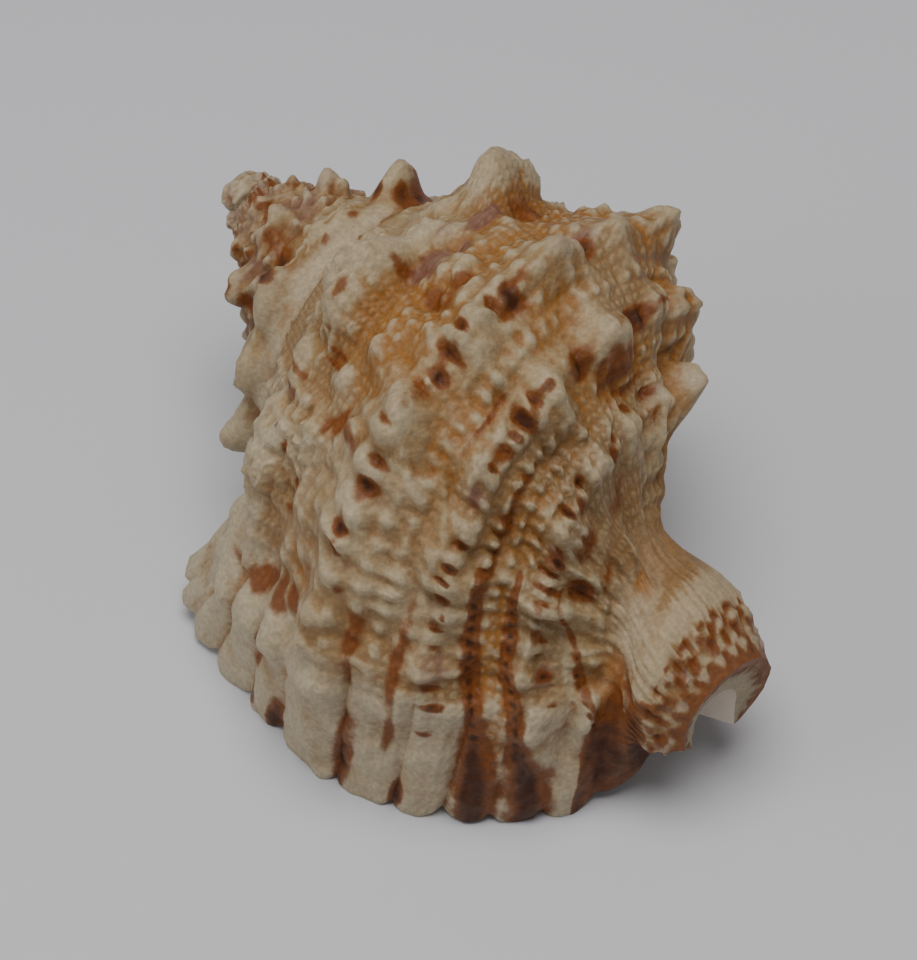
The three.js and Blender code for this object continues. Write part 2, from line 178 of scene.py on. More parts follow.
# marks of the shell, placed by turn and row: turn, row, turn width, row width, strength
spots = {
    "dark": [
        (-134, 4.05, 2.0, 0.11, 1), (-130, 3.96, 0.9, 0.1, 0.8), (-122, 3.96, 0.9, 0.1, 0.8),
        (-117, 4.0, 1.0, 0.12, 0.9), (-112, 4.05, 1.2, 0.09, 1), (-108.5, 3.95, 0.9, 0.07, 0.6),
        (-100, 3.96, 0.9, 0.09, 0.6), (-92, 4.03, 0.9, 0.09, 0.7), (-87, 4.03, 1.3, 0.09, 1),
        (-77.5, 3.97, 1.5, 0.1, 1), (-73, 4.0, 1.1, 0.1, 0.9), (-66, 4.12, 1.4, 0.06, 0.55),
        (-159, 4.03, 2.0, 0.13, 0.75), (-152, 3.93, 1.0, 0.09, 0.6),
        (-164, 4.98, 3.2, 0.1, 1), (-138.5, 5.0, 2.3, 0.1, 1), (-127, 4.97, 1.6, 0.05, 0.8),
        (-123, 4.96, 1.1, 0.07, 0.85), (-118, 4.94, 1.3, 0.1, 1), (-113.5, 4.98, 1, 0.07, 0.8),
        (-110, 5.0, 1, 0.07, 0.75), (-105.5, 5.0, 0.9, 0.07, 0.7), (-87, 5.02, 0.8, 0.06, 0.7),
        (-82, 5.03, 1.3, 0.08, 1), (-78.5, 5.02, 0.8, 0.07, 0.85), (-73.5, 5.03, 1.8, 0.07, 1),
        (-69, 5.04, 1.0, 0.05, 0.8), (-65, 5.02, 0.7, 0.09, 0.65), (-61, 5.02, 0.7, 0.09, 0.65),
        (-47.5, 5.12, 1.1, 0.13, 0.85), (-40, 5.1, 0.8, 0.08, 0.8), (-52, 5.12, 0.8, 0.12, 0.6),
        (-118.5, 5.87, 1.1, 0.06, 0.8), (-108.5, 5.9, 1.0, 0.08, 0.9), (-93.5, 6.02, 1.3, 0.06, 1),
        (-89.5, 6.0, 0.9, 0.08, 0.8), (-85, 6.05, 0.9, 0.12, 0.7), (-81.5, 6.05, 0.8, 0.1, 0.7),
        (-163, 5.83, 2.0, 0.05, 0.7), (-149, 5.83, 1.6, 0.05, 0.7), (-137, 5.86, 1.2, 0.05, 0.55),
        (-67, 6.1, 0.8, 0.06, 0.65), (-63, 6.1, 0.8, 0.06, 0.6), (-57, 6.22, 1.5, 0.09, 0.75),
        (-49, 6.3, 0.9, 0.08, 0.6), (-89, 6.38, 3.0, 0.12, 0.85),
        (-22, 3.56, 4.0, 0.05, 1), (-26, 4.39, 5.5, 0.055, 0.9), (-23, 3.28, 2.2, 0.04, 0.8),
        (-22, 4.98, 3.0, 0.05, 0.9), (-459, 0.6, 4.0, 0.35, 1), (-457, 1.85, 2.6, 0.25, 1),
        (-534, 2.85, 4, 0.3, 0.9), (-523, 2.6, 3.5, 0.2, 0.8), (-516, 1.95, 2.5, 0.12, 0.8),
        (-35, 7.3, 16, 0.22, 0.9), (-38, 7.05, 5, 0.16, 0.9), (-30, 7.55, 12, 0.25, 0.8),
    ],
    "rust": [
        (-134, 4.1, 3.2, 0.13, 0.8), (-175, 4.97, 9, 0.05, 0.7), (-121, 4.97, 7, 0.06, 0.75),
        (-164, 4.97, 5, 0.09, 0.9), (-140, 5.0, 3.5, 0.1, 0.8), (-79, 3.98, 3.5, 0.1, 0.6),
        (-152, 5.33, 8, 0.12, 0.75), (-147, 5.2, 5, 0.07, 0.6), (-155, 5.6, 8, 0.07, 0.6),
        (-103, 5.33, 7, 0.035, 0.75), (-96, 5.35, 3, 0.06, 0.9), (-84, 5.38, 7, 0.03, 0.7),
        (-133, 6.38, 4.5, 0.08, 0.65), (-107, 6.28, 4.5, 0.1, 0.7), (-103, 6.64, 8, 0.05, 0.5),
        (-91, 3.45, 1.8, 0.25, 0.75), (-89, 3.2, 2.2, 0.1, 0.8), (-86.5, 3.05, 2, 0.07, 0.7),
        (-125, 3.3, 1.8, 0.24, 0.7), (-131, 3.42, 2, 0.1, 0.75), (-125, 2.42, 1.5, 0.13, 0.75),
        (-112, 2.2, 3.2, 0.07, 0.8), (-100, 2.45, 0.7, 0.25, 0.65), (-97.5, 2.6, 0.7, 0.25, 0.7),
        (-103, 2.25, 0.8, 0.2, 0.6), (-90, 1.85, 1.2, 0.3, 0.7), (-85, 1.8, 1.6, 0.3, 0.75),
        (-43.5, 2.82, 1.8, 0.14, 0.85), (-46.5, 3.0, 2, 0.1, 0.7), (-48, 3.3, 1.8, 0.13, 0.9),
        (-51.5, 3.48, 2, 0.08, 0.9), (-40, 1.7, 2.4, 0.13, 0.85), (-42, 2.3, 1.5, 0.2, 0.45),
        (-34, 3.2, 4, 0.05, 0.5), (-30, 2.1, 3, 0.1, 0.3), (-56, 4.33, 6, 0.045, 0.8),
        (-64, 4.36, 3, 0.04, 0.5), (-54, 4.75, 9, 0.05, 0.85), (-40, 4.78, 6, 0.04, 0.75),
        (-28, 4.4, 8, 0.08, 0.9), (-70, 2.9, 0.9, 0.05, 0.75), (-63, 2.87, 0.9, 0.06, 0.7),
        (-75, 2.5, 1.4, 0.05, 0.6), (-78, 2.2, 1.2, 0.05, 0.7), (-70, 2.6, 1, 0.05, 0.5),
        (-88, 2.4, 1, 0.08, 0.6), (-112, 4.66, 8, 0.03, 0.6), (-93, 4.35, 2.5, 0.05, 0.4),
        (-497, 2.3, 3, 0.14, 0.7), (-482, 2.33, 2.5, 0.1, 0.6), (-398, 2.36, 4, 0.1, 0.45),
        (-540, 2.5, 9, 0.55, 0.9), (-530, 2.95, 8, 0.25, 0.9), (-545, 2.2, 5, 0.3, 0.8),
        (-462, 0.45, 6, 0.5, 0.8), (-475, 0.2, 9, 0.3, 0.5), (-168, 2.8, 5, 0.2, 0.6),
        (-66, 7.6, 7, 0.3, 0.6), (-52, 7.3, 6, 0.25, 0.6), (-40, 6.0, 9, 0.5, 0.35),
    ],
    "ochre": [
        (-116, 3.2, 13, 0.5, 0.8), (-150, 3.3, 12, 0.5, 0.55), (-170, 3.0, 14, 0.6, 0.85),
        (-152, 5.35, 12, 0.25, 0.8), (-140, 4.4, 14, 0.3, 0.45), (-110, 4.55, 12, 0.25, 0.45),
        (-60, 5.56, 16, 0.1, 0.8), (-40, 5.8, 9, 0.1, 0.9), (-190, 5.2, 12, 1.2, 0.6),
        (-100, 5.55, 12, 0.25, 0.45), (-128, 5.5, 8, 0.3, 0.3), (-118, 2.6, 8, 0.4, 0.5),
        (-55, 7.1, 10, 0.3, 0.7), (-120, 7.15, 6, 0.06, 0.6), (-57, 3.35, 7, 0.2, 0.35),
        (-35, 2.6, 9, 0.7, 0.3), (-470, 1.0, 20, 0.8, 0.35), (-450, 2.4, 4, 0.3, 0.3),
        (-428, 2.7, 4, 0.2, 0.25), (-180, 4.2, 10, 0.35, 0.5), (-77, 7.75, 9, 0.12, 0.5),
    ],
    "purple": [
        (-152, 2.6, 5, 0.14, 0.9), (-131, 2.75, 5, 0.17, 0.9), (-141, 2.88, 3, 0.1, 0.7),
        (-143, 2.35, 5, 0.15, 0.5), (-98, 4.98, 1.8, 0.07, 0.9), (-96, 5.98, 2, 0.06, 0.8),
        (-170, 4.98, 6, 0.06, 0.5), (-160, 3.9, 4, 0.12, 0.6), (-57, 6.2, 2.5, 0.1, 0.6),
        (-56, 5.08, 4, 0.12, 0.5), (-24, 6.3, 5, 0.2, 0.4), (-28, 7.3, 10, 0.25, 0.6),
        (-90, 5.02, 3, 0.06, 0.5), (-150, 7.85, 6, 0.06, 0.5), (-130, 7.75, 6, 0.04, 0.4),
        (-165, 5.85, 6, 0.07, 0.5), (-148, 4.02, 2.5, 0.08, 0.5), (-480, 1.4, 14, 0.5, 0.3),
        (-700, 2.0, 60, 0.7, 0.4), (-505, 1.2, 12, 0.5, 0.45),
    ],
}
# stripes that follow the whorl: (turn, row) from the back to the lip, half width there, strength
stripes = {
    "dark": [
        ([(-79, 5.3), (-66, 5.32), (-57, 5.38), (-49, 5.45), (-41, 5.56), (-36, 5.62),
          (-28, 5.72), (-19, 5.8)],
         [0.02, 0.05, 0.05, 0.045, 0.045, 0.1, 0.17, 0.15], 1),
        ([(-80, 5.7), (-70, 5.7), (-60, 5.76), (-50, 5.87), (-42, 5.98), (-36, 6.12),
          (-28, 6.3), (-19, 6.42)],
         [0.02, 0.05, 0.045, 0.045, 0.04, 0.1, 0.18, 0.16], 1),
        ([(-87, 6.2), (-79, 6.22), (-70, 6.4), (-60, 6.5), (-51, 6.62), (-45, 6.8), (-42, 6.95)],
         [0.012, 0.016, 0.014, 0.02, 0.045, 0.05, 0.06], 0.9),
        ([(-64, 8.1), (-54, 7.95), (-44, 7.9), (-34, 7.95), (-19, 8.05)], [0.1, 0.25, 0.3, 0.3, 0.25], 1),
    ],
    "rust": [
        ([(-84, 5.3), (-66, 5.33), (-57, 5.4), (-49, 5.47), (-41, 5.6), (-36, 5.68),
          (-28, 5.75), (-19, 5.85)],
         [0.04, 0.08, 0.09, 0.09, 0.1, 0.18, 0.24, 0.22], 1),
        ([(-86, 5.7), (-70, 5.7), (-60, 5.76), (-50, 5.87), (-42, 5.98), (-36, 6.12),
          (-28, 6.3), (-19, 6.42)],
         [0.03, 0.08, 0.09, 0.09, 0.09, 0.16, 0.25, 0.24], 1),
        ([(-87, 6.2), (-79, 6.22), (-70, 6.4), (-60, 6.52), (-51, 6.66), (-45, 6.9), (-42, 7.2)],
         [0.02, 0.03, 0.03, 0.05, 0.08, 0.1, 0.12], 0.8),
        ([(-74, 8.2), (-60, 7.95), (-48, 7.8), (-34, 7.8), (-19, 7.9)], [0.15, 0.3, 0.4, 0.4, 0.35], 0.9),
    ],
    "white": [
        ([(-80, 5.5), (-60, 5.56), (-45, 5.7), (-36, 5.86), (-19, 6.08)],
         [0.03, 0.04, 0.04, 0.04, 0.03], 0.5),
        ([(-70, 6.3), (-50, 6.5), (-36, 6.68), (-19, 6.8)], [0.03, 0.06, 0.1, 0.12], 0.7),
    ],
}


growthStep = [(1.8, -80), (3.0, -84), (3.2, -86), (3.4, -91), (3.65, -92), (3.85, -95),
              (4.3, -96), (4.6, -96.5), (5.2, -93), (6, -92)]    # row, turn of the last growth stop


def stepTurn(row):
    rows = [a for a, b in growthStep]
    turns = [b for a, b in growthStep]
    return np.interp(row, rows, turns)


# rows of the grooves between the rounded ribs that end in the lobes of the lip
lipGrooves = [0.9, 1.48, 2.02, 2.6, 3.2, 3.62, 4.36, 4.96, 5.48, 6.0, 6.56, 7.2, 8.0]


def lobeShare(row):
    # 0 in a groove, rising to 1 on the rounded back of a rib
    before = np.clip(np.searchsorted(lipGrooves, row) - 1, 0, len(lipGrooves) - 2)
    start = np.array(lipGrooves)[before]
    end = np.array(lipGrooves)[before + 1]
    across = np.clip((row - start) / (end - start) * 2 - 1, -1, 1)
    return np.sqrt(1 - 0.97 * across ** 2) * ease((row - 0.6) / 0.4)


def saddles(t, row):
    # the dark spots on the cords lie in the dips between beads
    dip = np.zeros(t.shape)
    for t0, row0, tWide, rowWide, strong in spots["dark"]:
        if -180 < t0 < -70 and 3.8 < row0 < 6.5:
            dip = np.maximum(dip, strong * hill(t, row, t0, row0, tWide * 1.3, rowWide * 1.6))
    return dip


# fine relief, in mm at full size; turns in degrees, seeds last in each noise
grain = {
    "warp": (16, 0.8, 3.1),
    "patches": (24, 1.0, 8.4),
    "threads": {"rows": 0.24, "turn": 5.0, "skew": 0.37, "high": 1.15},
    "cordBeads": {"turn": 7.3, "rows": 0.17, "high": 1.3},
    "smallCords": {"at": (4.5, 5.33, 5.66), "turn": 4.2, "rows": 0.09, "high": 0.8},
    "wrinkles": {"long": (4.2, 1.0, 1.7), "longHigh": 0.5, "short": (3.2, 0.13, 5.2), "shortHigh": 0.4},
    "lumps": {"noise": (9, 0.4, 2.6), "high": 1.7},
    "ledge": {"noise": (30, 0.25, 9.3), "sway": 5, "high": 1.1, "over": 2.2, "fade": 24},
    "net": {"rows": 0.22, "turn": 19},
    "ridge": {"turn": -43, "aboveTurn": 9, "behind": 9, "front": 3.2, "high": 3.6},
    "lobes": {"high": 2.2, "low": 1.5, "notch": 2.2, "notchTurn": 9},
    "spire": {"rows": 0.9, "turn": 24, "high": 4.0, "noise": (14, 0.5, 4.4), "noiseHigh": 2.0},
    "dip": 1.4,
}


def fineRelief(t, row):
    warp = noiseAt(t, row, *grain["warp"])
    neck = rise(row, 6.7, 0.5) * (1 - rise(row, 8.0, 0.3))              # smooth, between cords and canal
    body = rise(row, 0.8, 0.8) * (1 - 0.92 * neck) * (1 - rise(row, 8, 0.3))
    beforeLip = rise(t, -58, 12)
    old = rise(-t, 380, 60)
    oldest = rise(-t, 560, 60)
    smoothBand = old * (1 - oldest) * rise(row, 2.0, 0.3)

    # beaded threads, worn away in patches
    patchy = np.clip(0.65 + 0.9 * noiseAt(t, row, *grain["patches"]), 0.12, 1.3)
    made = grain["threads"]
    thread = row / made["rows"] + 0.35 * warp
    lane = np.floor(thread + 0.5)
    bead = wave(t / made["turn"] + lane * made["skew"] + 0.4 * warp, 1.0)
    fine = wave(thread, 1.0) * (0.2 + 0.8 * bead) * made["high"] * body * patchy
    fine *= (1 - 0.95 * smoothBand) * (1 - 0.8 * oldest) * (1 - 0.85 * beforeLip)

    # beads on the cords
    cordBead = np.zeros(t.shape)
    made = grain["cordBeads"]
    for row0, step, high, phase in knobs["cords"]:
        along = wave(t / made["turn"] + 0.25 * warp + row0 * 0.3, 1.0)
        cordBead += np.exp(-((row - row0) / made["rows"]) ** 2) * (0.4 + along) * made["high"]
    made = grain["smallCords"]
    for row0 in made["at"]:
        along = wave(t / made["turn"] + row0, 1.0)
        cordBead += np.exp(-((row - row0) / made["rows"]) ** 2) * along * made["high"]
    cordBead *= 1 - 0.8 * rise(t, -56, 12)

    made = grain["wrinkles"]
    wrinkle = noiseAt(t, row, *made["long"]) * made["longHigh"]
    wrinkle += noiseAt(t, row, *made["short"]) * made["shortHigh"]
    wrinkle *= 1 - rise(row, 8.3, 0.4)
    wrinkle *= (1 - 0.6 * neck) * (1 - 0.7 * smoothBand) * (1 - 0.5 * oldest)

    # a step where growth stopped and went on
    made = grain["ledge"]
    stepAt = stepTurn(row) + noiseAt(t, row, *made["noise"]) * made["sway"]
    fall = np.exp(-np.maximum(t - stepAt, 0) / made["fade"])
    ledge = made["high"] * rise(t, stepAt, made["over"]) * fall * ease((5.8 - row) / 1.2)

    # net of beads on the canal
    made = grain["net"]
    netRow = rise(row, 8.0, 0.2) * (1 - rise(row, 8.75, 0.2))
    across = wave(row / made["rows"] + 0.2 * warp, 1.0)
    net = netRow * across * wave(t / made["turn"] + np.round(row / made["rows"]) * 0.5, 1.0)

    # ridge of an older lip, then the ribs that end in lobes
    made = grain["ridge"]
    lobe = lobeShare(row)
    ridgeAt = made["turn"] + made["aboveTurn"] * ease((3.8 - row) / 0.9)
    behind = np.exp(-(np.minimum(t - ridgeAt, 0) / made["behind"]) ** 2)
    front = np.exp(-(np.maximum(t - ridgeAt, 0) / made["front"]) ** 2)
    knuckle = behind * front * (0.15 + 0.85 * lobe) * made["high"] * (1 - neck)
    beforeEdge = rise(t, ridgeAt + 1, 5)
    edge = beforeEdge * (lobe * grain["lobes"]["high"] - grain["lobes"]["low"])

    made = grain["lumps"]
    lump = noiseAt(t, row, *made["noise"]) * made["high"]
    lump *= (1 - 0.7 * smoothBand) * (1 - beforeEdge * 0.5) * (1 - 0.85 * rise(row, 6.7, 0.5))

    # nodules of the oldest turns
    made = grain["spire"]
    nodule = wave(row / made["rows"] + 0.15 * warp, 1.0) * wave(t / made["turn"] + 0.3 * warp, 1.0)
    spire = oldest * (nodule * made["high"] + noiseAt(t, row, *made["noise"]) * made["noiseHigh"])

    total = fine + cordBead + wrinkle + lump + ledge + net + knuckle + edge + spire
    total -= grain["dip"] * saddles(t, row)
    total = np.where(total < 0, total * rise(row, 0.4, 1.2), total)     # no thin wall beside the suture
    return total * (1 - 0.8 * rise(-t, 300, 25) * rise(row, 2.9, 0.5) * (t > -400))    # under the glaze


def whorlPoint(t, row, relief=True):
    g = whorl["growth"]
    scale = g ** (t / 360)
    grown = (scale - 1 / g) / (1 - 1 / g)
    unlike = np.where(t > -360, 1 - grown, np.clip(1 + (t + 360) / whorl["settleTurn"], 0, 1))[..., None]
    full = curveAt(whorl["fullRows"], row)
    kept = [(r / g, h / g) for r, h in whorl["fullRows"][:4]]
    inner = curveAt(kept + whorl["innerRows"], row)
    radius, height = np.moveaxis(full * scale[..., None] + (inner - full / g) * unlike, -1, 0)
    turn = whorl["sizeTurn"] + t
    if relief:
        bump = mainRelief(t, row) * scale
        radius = radius + bump * 0.9
        height = height + bump * np.where(row < 3.2, 0.28, 0.1) * (row - 3.2)
    ahead, up, old = whorl["spireReach"]
    drawn = np.exp(-(scale / old) ** 1.5)
    height = height - ahead * drawn
    flare = whorl["flareTurn"] - 22 * np.clip((3 - row) / 1.5, 0, 1)
    spread = np.clip((t - lipAngle + flare) / flare, 0, 1)
    lip = curveAt(whorl["lipRows"], row)
    radius = radius + (lip[..., 0] - radius) * spread ** 2.6
    height = height + (lip[..., 1] - height) * spread ** 2.6
    turn = turn + (lip[..., 2] - whorl["lipTurn"]) * spread ** 1.5
    shift = ease((row - 5.6) / 3)
    x = radius * np.cos(np.radians(turn)) + whorl["canalShift"][0] * shift
    z = radius * np.sin(np.radians(turn)) + whorl["canalShift"][1] * shift + up * drawn
    y = whorl["apexAhead"] - height
    c = math.cos(math.radians(whorl["axisPitch"]))
    s = math.sin(math.radians(whorl["axisPitch"]))
    return np.stack([x, y * c - z * s, y * s + z * c + whorl["axisHeight"]], -1)


def offsetPoint(t, row, out):
    # the smooth whorl moved along its outward normal
    a = whorlPoint(t - 2, row, False)
    b = whorlPoint(t + 2, row, False)
    c = whorlPoint(t, np.maximum(row - 0.15, 0), False)
    d = whorlPoint(t, np.minimum(row + 0.15, 9), False)
    normal = np.cross(b - a, d - c)
    normal /= np.linalg.norm(normal, axis=-1, keepdims=True)
    return whorlPoint(t, row, False) + normal * out


def skinPoint(t, row):
    # the whorl with all its relief, the fine part standing along the surface's own normal
    step = whorl["growth"] ** (t / 360)
    bare = whorlPoint(t, row, False)
    normal = offsetPoint(t, row, 1.0) - bare
    ahead = bare - whorlPoint(t - 3, row, False)
    ahead /= np.linalg.norm(ahead, axis=-1, keepdims=True)
    made = grain["lobes"]
    notch = (lobeShare(row) - 1) * made["notch"] * rise(t, lipAngle - made["notchTurn"], made["notchTurn"])
    notch *= ease(row) * ease(8 - row)
    high = fineRelief(t, row) * step * ease(row * 4 + (t < -400))
    return whorlPoint(t, row) + normal * high[..., None] + ahead * notch[..., None]


def only(piece):
    bpy.ops.object.select_all(action="DESELECT")
    piece.select_set(True)
    bpy.context.view_layer.objects.active = piece


def patch(name, across, along, place):
    # a grid bent into place: place takes u and v from 0 to 1 and gives points in mm
    bpy.ops.object.select_all(action="DESELECT")
    bpy.ops.mesh.primitive_grid_add(x_subdivisions=across, y_subdivisions=along, size=2)
    piece = bpy.context.active_object
    piece.name = name
    mesh = piece.data
    co = np.zeros(len(mesh.vertices) * 3)
    mesh.vertices.foreach_get("co", co)
    co = co.reshape(-1, 3)
    u = (co[:, 0] + 1) / 2
    v = (co[:, 1] + 1) / 2
    points, turnRow = place(u, v)
    mesh.vertices.foreach_set("co", (points * mm).ravel())
    for key, column in (("turn", 0), ("row", 1)):
        layer = mesh.attributes.new(key, "FLOAT", "POINT")
        layer.data.foreach_set("value", turnRow[:, column].astype(np.float32))
    mesh.update()
    return piece


def bodyRow(v):
    # rows spaced evenly over the surface
    return np.interp(v, [a for a, b in whorl["rowSpread"]], [b for a, b in whorl["rowSpread"]])


def bodyPlace(u, v):
    t = lipAngle - 360 + 360 * u
    row = bodyRow(v)
    return skinPoint(t, row), np.stack([t, row], -1)


def coarseTurn(t):
    # pairs of columns brought together, to meet the older turns
    step = 720 / whorl["columns"]
    return lipAngle - np.round((lipAngle - t) / step) * step


def shoulderPlace(u, v):
    t = lipAngle - 360 + 360 * u
    row = whorl["seam"] * v
    # the suture is the seam of the turn before, so the two edges meet
    suture = v < 1e-6
    tUsed = np.where(suture, coarseTurn(t) - 360, t)
    rowUsed = np.where(suture, whorl["seam"], row)
    return skinPoint(tUsed, rowUsed), np.stack([t, row], -1)


def olderPlace(u, v):
    t = startAngle + (lipAngle - 360 - startAngle) * u
    row = whorl["seam"] * v
    suture = (v < 1e-6) & (t > startAngle + 359.9)
    tUsed = np.where(suture, t - 360, t)
    rowUsed = np.where(suture, whorl["seam"], row)
    return skinPoint(tUsed, rowUsed), np.stack([t, row], -1)


print("shell mesh")
olderColumns = round(whorl["columns"] * (whorl["turns"] - 1) / 2)
bodyPatch = patch("bodyPatch", whorl["columns"], whorl["bodyRows"], bodyPlace)
shoulderPatch = patch("shoulderPatch", whorl["columns"], whorl["spireRows"], shoulderPlace)
olderPatch = patch("olderPatch", olderColumns, whorl["spireRows"], olderPlace)


edgeSteps = whorl["spireRows"] + whorl["bodyRows"]


def edgeRow(u):
    # rows of the lip edge, spaced as the patches on either side of the seam are
    k = u * edgeSteps
    above = whorl["seam"] * k / whorl["spireRows"]
    below = bodyRow(np.clip((k - whorl["spireRows"]) / whorl["bodyRows"], 0, 1))
    return np.where(k < whorl["spireRows"] + 0.5, above, below)


def rimPlace(u, v):
    # the lip edge rolled over to its inner side, with a rounded front
    row = edgeRow(u)
    t = np.full(u.shape, lipAngle)
    thick = wall["lip"] * ease(row) * ease((8 - row) / 2)
    outside = skinPoint(t, row)
    inside = offsetPoint(t, row, -thick[..., None]) + outside - whorlPoint(t, row)
    inside = np.where(thick[..., None] > 1e-6, inside, outside)
    front = whorlPoint(t, row, False) - whorlPoint(t - 3, row, False)
    front /= np.linalg.norm(front, axis=-1, keepdims=True)
    around = ((1 - np.cos(math.pi * v)) / 2)[..., None]
    bulge = (np.sin(math.pi * v) * thick * 0.2)[..., None]
    return outside + (inside - outside) * around + front * bulge, np.stack([t, row], -1)


def mouthPlace(u, v):
    # drawn from the rim across to the wall of the turn before
    rim = rimPlace(u, np.ones(u.shape))[0]
    t = np.full(u.shape, lipAngle - 360)
    row = bodyRow(np.round(u * whorl["bodyRows"]) / whorl["bodyRows"])
    far = skinPoint(t, row)
    return rim + (far - rim) * v[..., None], np.stack([t, row], -1)


def hollowRing(t, v):
    outerShare, innerShare = wall["outerShare"], wall["innerShare"]
    outerFirst, outerLast = wall["outerRows"]
    innerFirst, innerLast = wall["innerRows"]
    outerRow = outerFirst + (outerLast - outerFirst) * np.clip(v / outerShare, 0, 1)
    overInner = np.clip((v - outerShare) / (innerShare - outerShare), 0, 1)
    innerRow = innerFirst + (innerLast - innerFirst) * overInner
    teeth = wave(outerRow / 0.42, 1.3) * wall["tooth"] * rise(t, lipAngle - 16, 8)
    outer = offsetPoint(t, outerRow, -(wall["thick"] + teeth)[..., None])
    inner = offsetPoint(t - 360, innerRow, wall["callus"])
    points = np.where((v <= outerShare)[..., None], outer, inner)
    closing = np.clip((v - innerShare) / (1 - innerShare), 0, 1)[..., None]
    first = offsetPoint(t, np.full(t.shape, outerFirst), np.full(t.shape, -wall["thick"])[..., None])
    return points + (first - points) * closing


def hollowPlace(u, v):
    steps = wall["hollowSteps"]
    step = np.round(u * (steps + 1))
    t = lipAngle - wall["hollowTurn"] * (1 - np.minimum(step / steps, 1))
    points = hollowRing(t, np.where(v > 1 - 1e-6, 0.0, v))
    points[step > steps, 2] -= wall["drop"]
    return points, np.stack([t, 9 * v], -1)


canal = {
    "run": [(-13, -16, 22, 6), (-9, -30, 19, 4.6), (-7, -42, 18, 5.0), (-5.5, -62, 19.5, 10.5)],
    "arc": 24,              # steps round the upper half; the run above is x, y, z and radius
    "slot": 0.8,            # width of the slot below, against the bore
    "sections": 16,
}


def canalPlace(u, v):
    # round above, straight down below
    arc = canal["arc"]
    x, y, z, r = np.moveaxis(curveAt(canal["run"], u * (len(canal["run"]) - 1)), -1, 0)
    k = np.round(v * (arc + 3))
    k = np.where(k > arc + 2.5, 0, k)
    a = np.pi * (1 - k / arc)
    low = k > arc + 0.5
    side = np.where(k > arc + 1.5, -1, 1)
    px = np.where(low, x + r * canal["slot"] * side, x + r * np.cos(a))
    pz = np.where(low, -wall["drop"], z + r * np.sin(a))
    return np.stack([px, y, pz], -1), np.stack([u, v], -1)


def weldClosed(piece, gap):
    # doubles merged, open ends filled and fanned, faces outwards
    only(piece)
    bpy.ops.object.mode_set(mode="EDIT")
    bpy.ops.mesh.select_all(action="SELECT")
    bpy.ops.mesh.remove_doubles(threshold=gap)
    bpy.ops.mesh.select_all(action="DESELECT")
    bpy.ops.mesh.select_mode(type="EDGE")
    bpy.ops.mesh.select_non_manifold(extend=False, use_wire=False, use_multi_face=False,
                                     use_non_contiguous=False, use_verts=False)
    bpy.ops.mesh.edge_face_add()
    bpy.ops.mesh.select_all(action="DESELECT")
    bpy.ops.mesh.select_mode(type="FACE")
    bpy.ops.mesh.select_face_by_sides(number=4, type="GREATER")
    bpy.ops.mesh.poke()
    bpy.ops.mesh.select_all(action="SELECT")
    bpy.ops.mesh.normals_make_consistent(inside=False)
    bpy.ops.object.mode_set(mode="OBJECT")


def checkClosed(piece):
    only(piece)
    bpy.ops.object.mode_set(mode="EDIT")
    bpy.ops.mesh.select_mode(type="EDGE")
    bpy.ops.mesh.select_all(action="DESELECT")
    bpy.ops.mesh.select_non_manifold()
    bpy.ops.object.mode_set(mode="OBJECT")
    return sum(e.select for e in piece.data.edges)


def cutWith(piece, cutter, operation="DIFFERENCE"):
    only(piece)
    cut = piece.modifiers.new("cut", "BOOLEAN")
    cut.operation = operation
    cut.object = cutter
    cut.solver = "MANIFOLD"
    bpy.ops.object.modifier_apply(modifier=cut.name)
    bpy.data.objects.remove(cutter)


